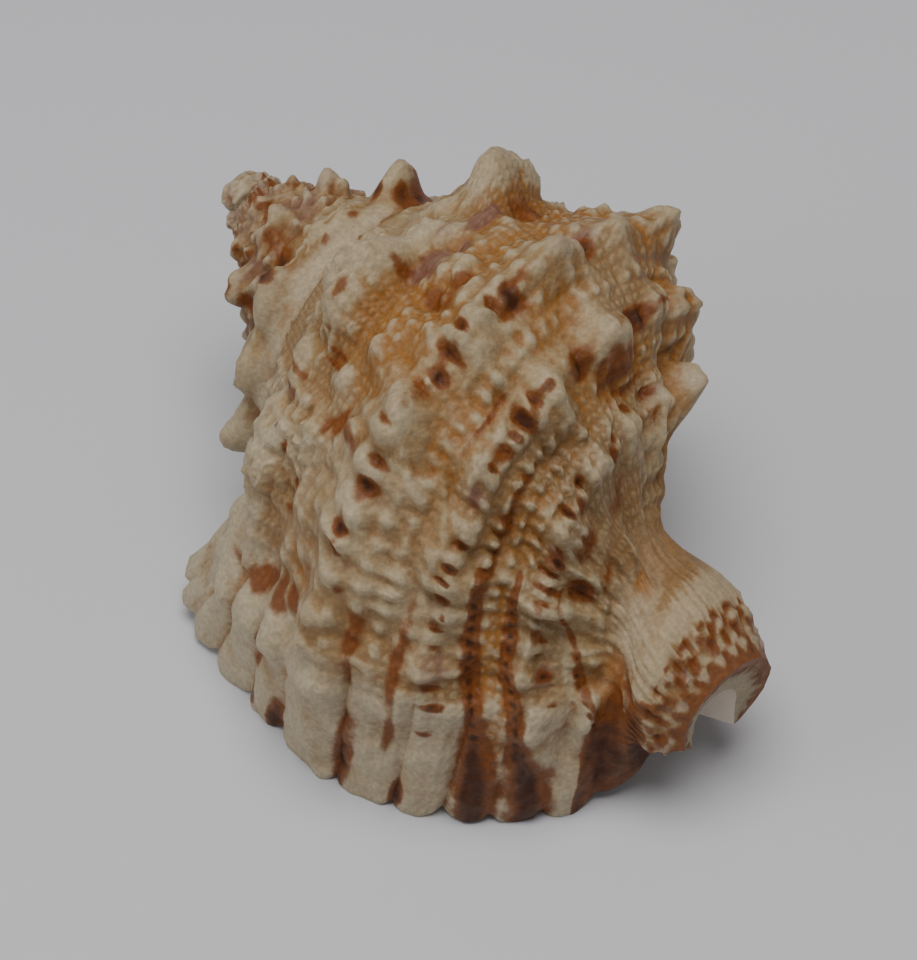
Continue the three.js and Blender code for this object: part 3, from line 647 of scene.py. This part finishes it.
def paintMasks(t, row):
    masks = {key: np.zeros(t.shape) for key in ("dark", "rust", "ochre", "purple", "white")}

    def add(key, share):
        masks[key] = np.maximum(masks[key], share)

    for key, found in spots.items():
        for t0, row0, tWide, rowWide, strong in found:
            small = key == "dark" and -82 <= t0 <= -40
            wider = 1.05 if small else 1.5
            add(key, strong * hill(t, row, t0, row0, tWide * wider, rowWide * wider))
    for key, found in stripes.items():
        for route, widths, strong in found:
            turns = [a for a, b in route]
            rows = [b for a, b in route]
            away = np.abs(row - np.interp(t, turns, rows)) / np.interp(t, turns, widths)
            ends = ease((t - turns[0]) / 4 + 0.5)
            if key == "dark":                           # crossed by paler growth lines up to the lip
                ends = ends * (1 - 0.6 * wave(t / 3.4 + 0.1, 1.2) * ease((-t - 36) / 4))
            add(key, strong * ends * np.exp(-(away ** 2) * 0.7))
    # canal: rows of dashes between the beads
    canalShare = rise(row, 8.05, 0.25) * (t > -375)
    laneRows = grain["net"]["rows"]
    lane = np.round(row / laneRows)
    dash = wave(t / 17 + lane * 0.5 + 0.5 + 0.25 * noiseAt(t, row, 30, 0.5, 6.1), 1.5)
    between = 1 - wave(row / laneRows, 1)
    add("dark", canalShare * dash * (0.35 + 0.65 * between) * 0.8)
    add("rust", canalShare * (0.35 + 0.45 * dash + 0.5 * rise(row, 8.75, 0.25)))
    add("purple", canalShare * wave(t / 29 + lane * 0.3, 2) * 0.6)
    # a broken chain of rust along each cord
    shown = ease((-t - 58) / 10) * ease((t + 185) / 20)
    for row0 in (4, 5, 6):
        broken = 0.36 + 0.45 * noiseAt(t, row, 7, 0.5, row0 + 0.3)
        add("rust", np.exp(-((row - row0) / 0.12) ** 2) * shown * broken)
    # broken colour bands on the older turns and on the hidden sides
    older = rise(-t, 500, 60)
    bands = wave(t / 51 + 0.35 + 0.3 * noiseAt(t, row, 25, 0.6, 4.9), 1.4)
    add("rust", older * bands * (0.55 + 0.3 * noiseAt(t, row, 9, 0.3, 2.2)))
    add("purple", older * (1 - bands) * 0.45)
    under = rise(-t, 195, 15) * (t > -345) * (1 - rise(row, 6.6, 0.5))
    for row0, step, high, phase in knobs["cords"]:
        dots = wave((t - phase) / step + 0.5, 5) * np.exp(-((row - row0) / 0.13) ** 2)
        add("dark", under * dots * 0.9)
        add("rust", under * np.exp(-((row - row0) / 0.1) ** 2) * 0.5)
    blotch = ease((noiseAt(t, row, 26, 0.7, 11.3) - 0.1) * 2)
    add("ochre", under * blotch * 0.7)
    # paler: past the growth stop, the neck, the lip, the smooth band and the worn apex
    sinceStop = t - stepTurn(row)
    worn = ease(sinceStop / 2) * np.exp(-np.maximum(sinceStop, 0) / 30)
    add("white", 0.6 * worn * ease((5.2 - row) / 1.2))
    add("white", 0.85 * hill(t, row, -80, 7.3, 60, 0.6))
    add("white", rise(t, -54, 8) * (0.75 + 0.3 * noiseAt(t, row, 7, 0.3, 13.1)) * (row < 8))
    band = rise(-t, 382, 6) * rise(t, -520, 12) * hill(t, row, t, 2.7, 1, 0.5)
    add("white", 0.8 * band)
    add("white", 0.9 * rise(-t, 1300, 120))
    return masks


def hollowness(mesh, rounds):
    # how far each point lies below the smoothed surface, in metres
    count = len(mesh.vertices)
    co = np.zeros(count * 3)
    mesh.vertices.foreach_get("co", co)
    co = co.reshape(-1, 3)
    normals = np.zeros(count * 3)
    mesh.vertex_normals.foreach_get("vector", normals)
    ends = np.zeros(len(mesh.edges) * 2, int)
    mesh.edges.foreach_get("vertices", ends)
    one, other = ends.reshape(-1, 2).T
    near = np.bincount(np.concatenate([one, other]), minlength=count)
    soft = co.copy()
    for step in range(rounds):
        total = np.stack([np.bincount(one, soft[other, k], count) + np.bincount(other, soft[one, k], count)
                          for k in range(3)], -1)
        soft = 0.5 * soft + 0.5 * total / near[:, None]
    return ((soft - co) * normals.reshape(-1, 3)).sum(1)


def paintShell(piece):
    mesh = piece.data
    count = len(mesh.vertices)
    t = np.zeros(count)
    row = np.zeros(count)
    mesh.attributes["turn"].data.foreach_get("value", t)
    mesh.attributes["row"].data.foreach_get("value", row)
    masks = paintMasks(t, row)
    # below the smoothed surface, which darkens the recesses: partly pigment, partly painted shade
    masks["hollow"] = 0.5 + hollowness(mesh, 8) / mm + hollowness(mesh, 60) / (5 * mm)
    ones = np.ones(count)
    for key, columns in (("marks", ("dark", "rust", "ochre")), ("wash", ("purple", "white", "hollow"))):
        layer = mesh.color_attributes.new(key, "FLOAT_COLOR", "POINT")
        values = [np.clip(masks[c], 0, 1) for c in columns] + [ones]
        layer.data.foreach_set("color", np.stack(values, -1).astype(np.float32).ravel())


def newMaterial(name):
    material = bpy.data.materials.new(name)
    material.use_nodes = True
    return material, material.node_tree, material.node_tree.nodes["Principled BSDF"]


def addNode(tree, kind, inputs=(), **values):
    made = tree.nodes.new("ShaderNode" + kind)
    for key, value in values.items():
        setattr(made, key, value)
    for key, value in dict(inputs).items():
        if isinstance(value, bpy.types.NodeSocket):
            tree.links.new(value, made.inputs[key])
        else:
            made.inputs[key].default_value = value
    return made


def math2(tree, operation, a, b):
    # MULTIPLY_ADD scales a by b and adds what is left of 1
    inputs = {0: a, 1: b}
    if operation == "MULTIPLY_ADD":
        inputs[2] = 1 - b
    return addNode(tree, "Math", inputs, operation=operation).outputs[0]


def mixColour(tree, share, a, b, blend="MIX"):
    made = addNode(tree, "Mix", {0: share, 6: a, 7: b}, data_type="RGBA", blend_type=blend)
    return made.outputs[2]


def mapRange(tree, value, low, high, toLow=0.0, toHigh=1.0):
    made = addNode(tree, "MapRange", {0: value, 1: low, 2: high, 3: toLow, 4: toHigh})
    made.interpolation_type = "SMOOTHSTEP"
    return made.outputs[0]


def noiseOut(tree, coords, scale, detail=4.0, rough=0.55, distort=0.0):
    made = addNode(tree, "TexNoise", {"Vector": coords, "Scale": scale, "Detail": detail,
                                      "Roughness": rough, "Distortion": distort})
    return made.outputs["Fac"]


chalk = {
    "cream": (0.35, 0.222, 0.10, 1),
    "pale": (0.45, 0.34, 0.198, 1),
    "tan": (0.225, 0.105, 0.03, 1),
    "ochre": (0.31, 0.12, 0.017, 1),
    "rust": (0.19, 0.047, 0.003, 1),
    "dark": (0.047, 0.0115, 0.0025, 1),
    "purple": (0.19, 0.08, 0.062, 1),
    "white": (0.51, 0.425, 0.285, 1),
}
shellMaterial, tree, shader = newMaterial("chalkyShell")
coords = addNode(tree, "TexCoord").outputs["Object"]
marks = addNode(tree, "SeparateColor", {0: addNode(tree, "VertexColor", layer_name="marks").outputs[0]})
darkMark, rustMark, ochreMark = marks.outputs
wash = addNode(tree, "SeparateColor", {0: addNode(tree, "VertexColor", layer_name="wash").outputs[0]})
purpleMark, whiteMark, hollow = wash.outputs
coarse = noiseOut(tree, coords, 70.0)
middle = noiseOut(tree, coords, 300.0, 5.0, 0.6)
fineNoise = noiseOut(tree, coords, 1100.0, 4.0, 0.6)
cloud = noiseOut(tree, coords, 32.0, 3.0)
turnValue = addNode(tree, "Attribute", attribute_name="turn").outputs["Fac"]
rowValue = addNode(tree, "Attribute", attribute_name="row").outputs["Fac"]


def ripple(value, period, shift):
    # cosine of the value, 0 to 1
    angle = math2(tree, "ADD", math2(tree, "MULTIPLY", value, 2 * math.pi / period), shift)
    return math2(tree, "MULTIPLY_ADD", math2(tree, "COSINE", angle, 0.0), 0.5)   # 0.5 cos + 0.5


def brokenMask(value, noiseValue, spread, start, end):
    jitter = math2(tree, "MULTIPLY", math2(tree, "SUBTRACT", noiseValue, 0.5), spread)
    return mapRange(tree, math2(tree, "ADD", value, jitter), start, end)


# rows of small granules, in step with the growth
sway = math2(tree, "MULTIPLY", coarse, 9.0)
swing = math2(tree, "MULTIPLY", cloud, 14.0)
granule = math2(tree, "MULTIPLY", ripple(rowValue, 0.11, sway), ripple(turnValue, 2.6, swing))
beaded = math2(tree, "MULTIPLY", mapRange(tree, rowValue, 6.5, 6.9, 1.0, 0.0),
               mapRange(tree, turnValue, -385.0, -370.0))
beaded = math2(tree, "MULTIPLY", beaded, mapRange(tree, cloud, 0.3, 0.6, 0.15, 0.6))
granule = math2(tree, "ADD", math2(tree, "MULTIPLY", granule, beaded), math2(tree, "MULTIPLY", middle, 0.9))
base = mixColour(tree, mapRange(tree, coarse, 0.35, 0.65), chalk["cream"], chalk["pale"])
# tan and ochre gather in the valleys between the granules: partly pigment, partly painted shade
between = mapRange(tree, granule, 0.4, 0.68, 1.0, 0.0)
tanArea = mapRange(tree, math2(tree, "ADD", cloud, math2(tree, "MULTIPLY", hollow, 0.22)), 0.5, 0.72)
tanMask = math2(tree, "MULTIPLY", tanArea, math2(tree, "MULTIPLY_ADD", between, 0.55))
# tan in the recesses of the relief: partly pigment, partly painted shade
recessPigmentAndShade = mapRange(tree, math2(tree, "ADD", hollow, math2(tree, "MULTIPLY", middle, 0.3)), 0.62, 0.95)
tanMask = math2(tree, "MULTIPLY", tanMask, 0.75)
tanMask = math2(tree, "MAXIMUM", tanMask, math2(tree, "MULTIPLY", recessPigmentAndShade, 0.5))
base = mixColour(tree, tanMask, base, chalk["tan"])
whiteMask = brokenMask(whiteMark, middle, 0.9, 0.2, 0.85)
base = mixColour(tree, math2(tree, "MULTIPLY", whiteMask, 0.75), base, chalk["white"])
# more ochre and rust deeper in the recesses: partly pigment, partly painted shade
lowerPigmentAndShade = math2(tree, "MULTIPLY", math2(tree, "SUBTRACT", hollow, 0.5), 0.5)
ochreMask = brokenMask(math2(tree, "ADD", ochreMark, lowerPigmentAndShade), middle, 1.1, 0.18, 0.6)
ochreMask = math2(tree, "MULTIPLY", ochreMask, math2(tree, "MULTIPLY_ADD", between, 0.45))
base = mixColour(tree, math2(tree, "MULTIPLY", ochreMask, 0.9), base, chalk["ochre"])
purpleMask = brokenMask(purpleMark, middle, 0.9, 0.18, 0.62)
base = mixColour(tree, math2(tree, "MULTIPLY", purpleMask, 0.75), base, chalk["purple"])
halo = math2(tree, "MULTIPLY", darkMark, 1.3)
rustArea = math2(tree, "MAXIMUM", rustMark, halo)
rustArea = math2(tree, "ADD", rustArea, math2(tree, "MULTIPLY", lowerPigmentAndShade, 0.6))
rustMask = brokenMask(rustArea, middle, 0.8, 0.2, 0.62)
base = mixColour(tree, math2(tree, "MULTIPLY", rustMask, 0.92), base, chalk["rust"])
darkMask = brokenMask(darkMark, middle, 1.0, 0.4, 0.98)
base = mixColour(tree, math2(tree, "MULTIPLY", darkMask, 0.88), base, chalk["dark"])
# painted highlight: raised tops of beads and knobs made paler, less where rust lies
beadTopHighlight = mapRange(tree, hollow, 0.38, 0.05)
beadTopHighlight = math2(tree, "MULTIPLY", beadTopHighlight, mapRange(tree, rustMask, 0.0, 0.8, 0.5, 0.05))
base = mixColour(tree, beadTopHighlight, base, chalk["white"])
speckle = mapRange(tree, fineNoise, 0.35, 0.7, 0.84, 1.08)
speckleGrey = addNode(tree, "CombineColor", {0: speckle, 1: speckle, 2: speckle}).outputs[0]
tree.links.new(mixColour(tree, 1.0, base, speckleGrey, "MULTIPLY"), shader.inputs["Base Color"])
tree.links.new(mapRange(tree, middle, 0.3, 0.7, 0.42, 0.62), shader.inputs["Roughness"])
shader.inputs["Specular IOR Level"].default_value = 0.28
height = math2(tree, "ADD", math2(tree, "MULTIPLY", granule, 0.55), math2(tree, "MULTIPLY", fineNoise, 0.25))
bump = addNode(tree, "Bump", {"Height": height, "Strength": 0.55, "Distance": 0.0011})
tree.links.new(bump.outputs[0], shader.inputs["Normal"])

glazeMaterial, tree, shader = newMaterial("mouthGlaze")
coords = addNode(tree, "TexCoord").outputs["Object"]
cloudy = noiseOut(tree, coords, 60.0)
glaze = mixColour(tree, mapRange(tree, cloudy, 0.35, 0.65), (0.74, 0.60, 0.46, 1), (0.80, 0.72, 0.62, 1))
tree.links.new(glaze, shader.inputs["Base Color"])
shader.inputs["Roughness"].default_value = 0.28
shader.inputs["Coat Weight"].default_value = 0.25
waves = addNode(tree, "Bump", {"Height": noiseOut(tree, coords, 220.0), "Strength": 0.3, "Distance": 0.0006})
tree.links.new(waves.outputs[0], shader.inputs["Normal"])
print("materials")


rimPatch = patch("rimPatch", edgeSteps, 8, rimPlace)
mouthPatch = patch("mouthPatch", edgeSteps, 12, mouthPlace)
only(bodyPatch)
for piece in (shoulderPatch, olderPatch, rimPatch, mouthPatch):
    piece.select_set(True)
bpy.ops.object.join()
murexShell = bpy.context.active_object
murexShell.name = "murexShell"
weldClosed(murexShell, 0.02 * mm)
print("open edges in the shell", checkClosed(murexShell))

hollowCut = patch("hollowCut", wall["hollowSteps"] + 1, wall["hollowColumns"], hollowPlace)
weldClosed(hollowCut, 0.002 * mm)
canalCut = patch("canalCut", canal["sections"], canal["arc"] + 3, canalPlace)
weldClosed(canalCut, 0.002 * mm)
print("open edges in the cutters", checkClosed(hollowCut), checkClosed(canalCut))
for piece in (murexShell, hollowCut, canalCut):
    piece.data.materials.clear()
    piece.data.materials.append(shellMaterial)
    piece.data.materials.append(glazeMaterial)
for cutter in (hollowCut, canalCut):
    for face in cutter.data.polygons:
        face.material_index = 1
    cutWith(murexShell, cutter)

# worn, blunt block that ends the spire
apex = {
    "radius": 5.2,
    "stretch": (1.15, 0.8, 0.85),
    "rough": 2.6,               # height of its lumps
    "scale": 0.16,
    "smallShare": 0.25,         # of the smaller lumps, four times as fine
    "ahead": (0.5, -5.8, 0.3),  # from the end of the spiral
}
tip = whorlPoint(np.array([startAngle]), np.array([0.0]))[0] + np.array(apex["ahead"])
bpy.ops.mesh.primitive_ico_sphere_add(subdivisions=5, radius=apex["radius"] * mm)
block = bpy.context.active_object
for vertex in block.data.vertices:
    away = vertex.co / mm
    lump = noise.noise(away * apex["scale"]) + apex["smallShare"] * noise.noise(away * apex["scale"] * 4)
    lumpy = 1 + apex["rough"] * lump / apex["radius"]
    vertex.co = Vector([(away[k] * lumpy * apex["stretch"][k] + tip[k]) * mm for k in range(3)])
for key, value in (("turn", startAngle), ("row", 1.0)):
    layer = block.data.attributes.new(key, "FLOAT", "POINT")
    layer.data.foreach_set("value", np.full(len(block.data.vertices), value, np.float32))
block.data.materials.append(shellMaterial)
cutWith(murexShell, block, "UNION")

only(murexShell)
bpy.ops.mesh.separate(type="LOOSE")
parts = sorted(bpy.context.selected_objects, key=lambda p: len(p.data.polygons))
murexShell = parts.pop()
murexShell.name = "murexShell"
for scrap in parts:
    bpy.data.objects.remove(scrap)

# turned as it lies, then moved to the middle of the CAD box
up = Vector(whorl["up"]).normalized()
lay = up.rotation_difference(Vector((0, 0, 1))).to_matrix().to_4x4()
murexShell.data.transform(lay)
# the plain whorl at the coarser steps of the solid, to lay one on the other
turnStep = 360 / 48
rowStep = 1 / 3
turns = np.arange(startAngle, lipAngle + 1, turnStep)
rows = np.arange(0, 9.01, rowStep)
tGrid, rowGrid = np.meshgrid(turns, rows, indexing="ij")
known = (tGrid > lipAngle - 360.1) | (rowGrid < whorl["seam"] + 0.01)
laid = whorlPoint(tGrid[known], rowGrid[known]) @ np.array(lay.to_3x3()).T * mm
cadLow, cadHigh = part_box("shell")
place = (cadLow + cadHigh) / 2 - Vector((laid.min(0) + laid.max(0)) / 2)
place.z = cadHigh.z - laid[:, 2].max()
murexShell.data.transform(Matrix.Translation(place))
print("moved by", [round(c / mm, 3) for c in place])

paintShell(murexShell)
only(murexShell)
bpy.ops.object.shade_smooth_by_angle(angle=math.radians(50))
print("triangles", sum(len(p.vertices) - 2 for p in murexShell.data.polygons))

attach(murexShell, "root")
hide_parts("shell")

# plain pale surface
bpy.ops.object.select_all(action="DESELECT")
bpy.ops.mesh.primitive_plane_add(size=6, location=(0, 0, 0))
tableTop = bpy.context.active_object
tableTop.name = "tableTop"
tableMaterial, tree, shader = newMaterial("paleTable")
shader.inputs["Base Color"].default_value = (0.68, 0.68, 0.71, 1)
shader.inputs["Roughness"].default_value = 0.75
shader.inputs["Specular IOR Level"].default_value = 0.15
tableTop.data.materials.append(tableMaterial)

# camera, seen from the lip side and above
view = {"azimuth": -40.12, "elevation": 45.43, "roll": -0.44, "lens": 116.3,
        "eye": (-260.34, -275.94, 422.79)}


def lookFrom(view, shift):
    az = math.radians(view["azimuth"])
    el = math.radians(view["elevation"])
    roll = math.radians(view["roll"])
    ahead = Vector((-math.sin(az) * math.cos(el), math.cos(az) * math.cos(el), -math.sin(el)))
    right = Vector((math.cos(az), math.sin(az), 0))
    above = right.cross(ahead)
    side = right * math.cos(roll) + above * math.sin(roll)
    top = side.cross(ahead)
    turn = Matrix((side, top, -ahead)).transposed().to_4x4()
    turn.translation = Vector(view["eye"]) * mm + shift
    return turn


cameraData = bpy.data.cameras.new("camera")
cameraData.sensor_fit = "HORIZONTAL"
cameraData.sensor_width = 36
cameraData.lens = view["lens"]
camera = bpy.data.objects.new("camera", cameraData)
bpy.context.scene.collection.objects.link(camera)
camera.matrix_world = lookFrom(view, place)
bpy.context.scene.camera = camera

# soft studio light
lights = {
    "overhead": {"at": (-0.06, -0.08, 0.95), "size": 0.7, "power": 6.6, "colour": (1.0, 0.985, 0.96)},
    "window": {"at": (-0.9, 0.35, 0.55), "size": 0.6, "power": 2.3, "colour": (0.94, 0.97, 1.0)},
}


def addLight(name, at, size, power, colour):
    bpy.ops.object.light_add(type="AREA", location=at)
    lamp = bpy.context.active_object
    lamp.name = name
    lamp.data.shape = "DISK"
    lamp.data.size = size
    lamp.data.energy = power
    lamp.data.color = colour
    lamp.rotation_euler = (Vector((0, 0, 0.03)) - Vector(at)).to_track_quat("-Z", "Y").to_euler()


for name, values in lights.items():
    addLight(name, **values)

world = bpy.context.scene.world or bpy.data.worlds.new("room")
bpy.context.scene.world = world
world.use_nodes = True
sky = world.node_tree.nodes["Background"]
sky.inputs["Color"].default_value = (0.78, 0.80, 0.84, 1)
sky.inputs["Strength"].default_value = 0.25
print("camera and light")
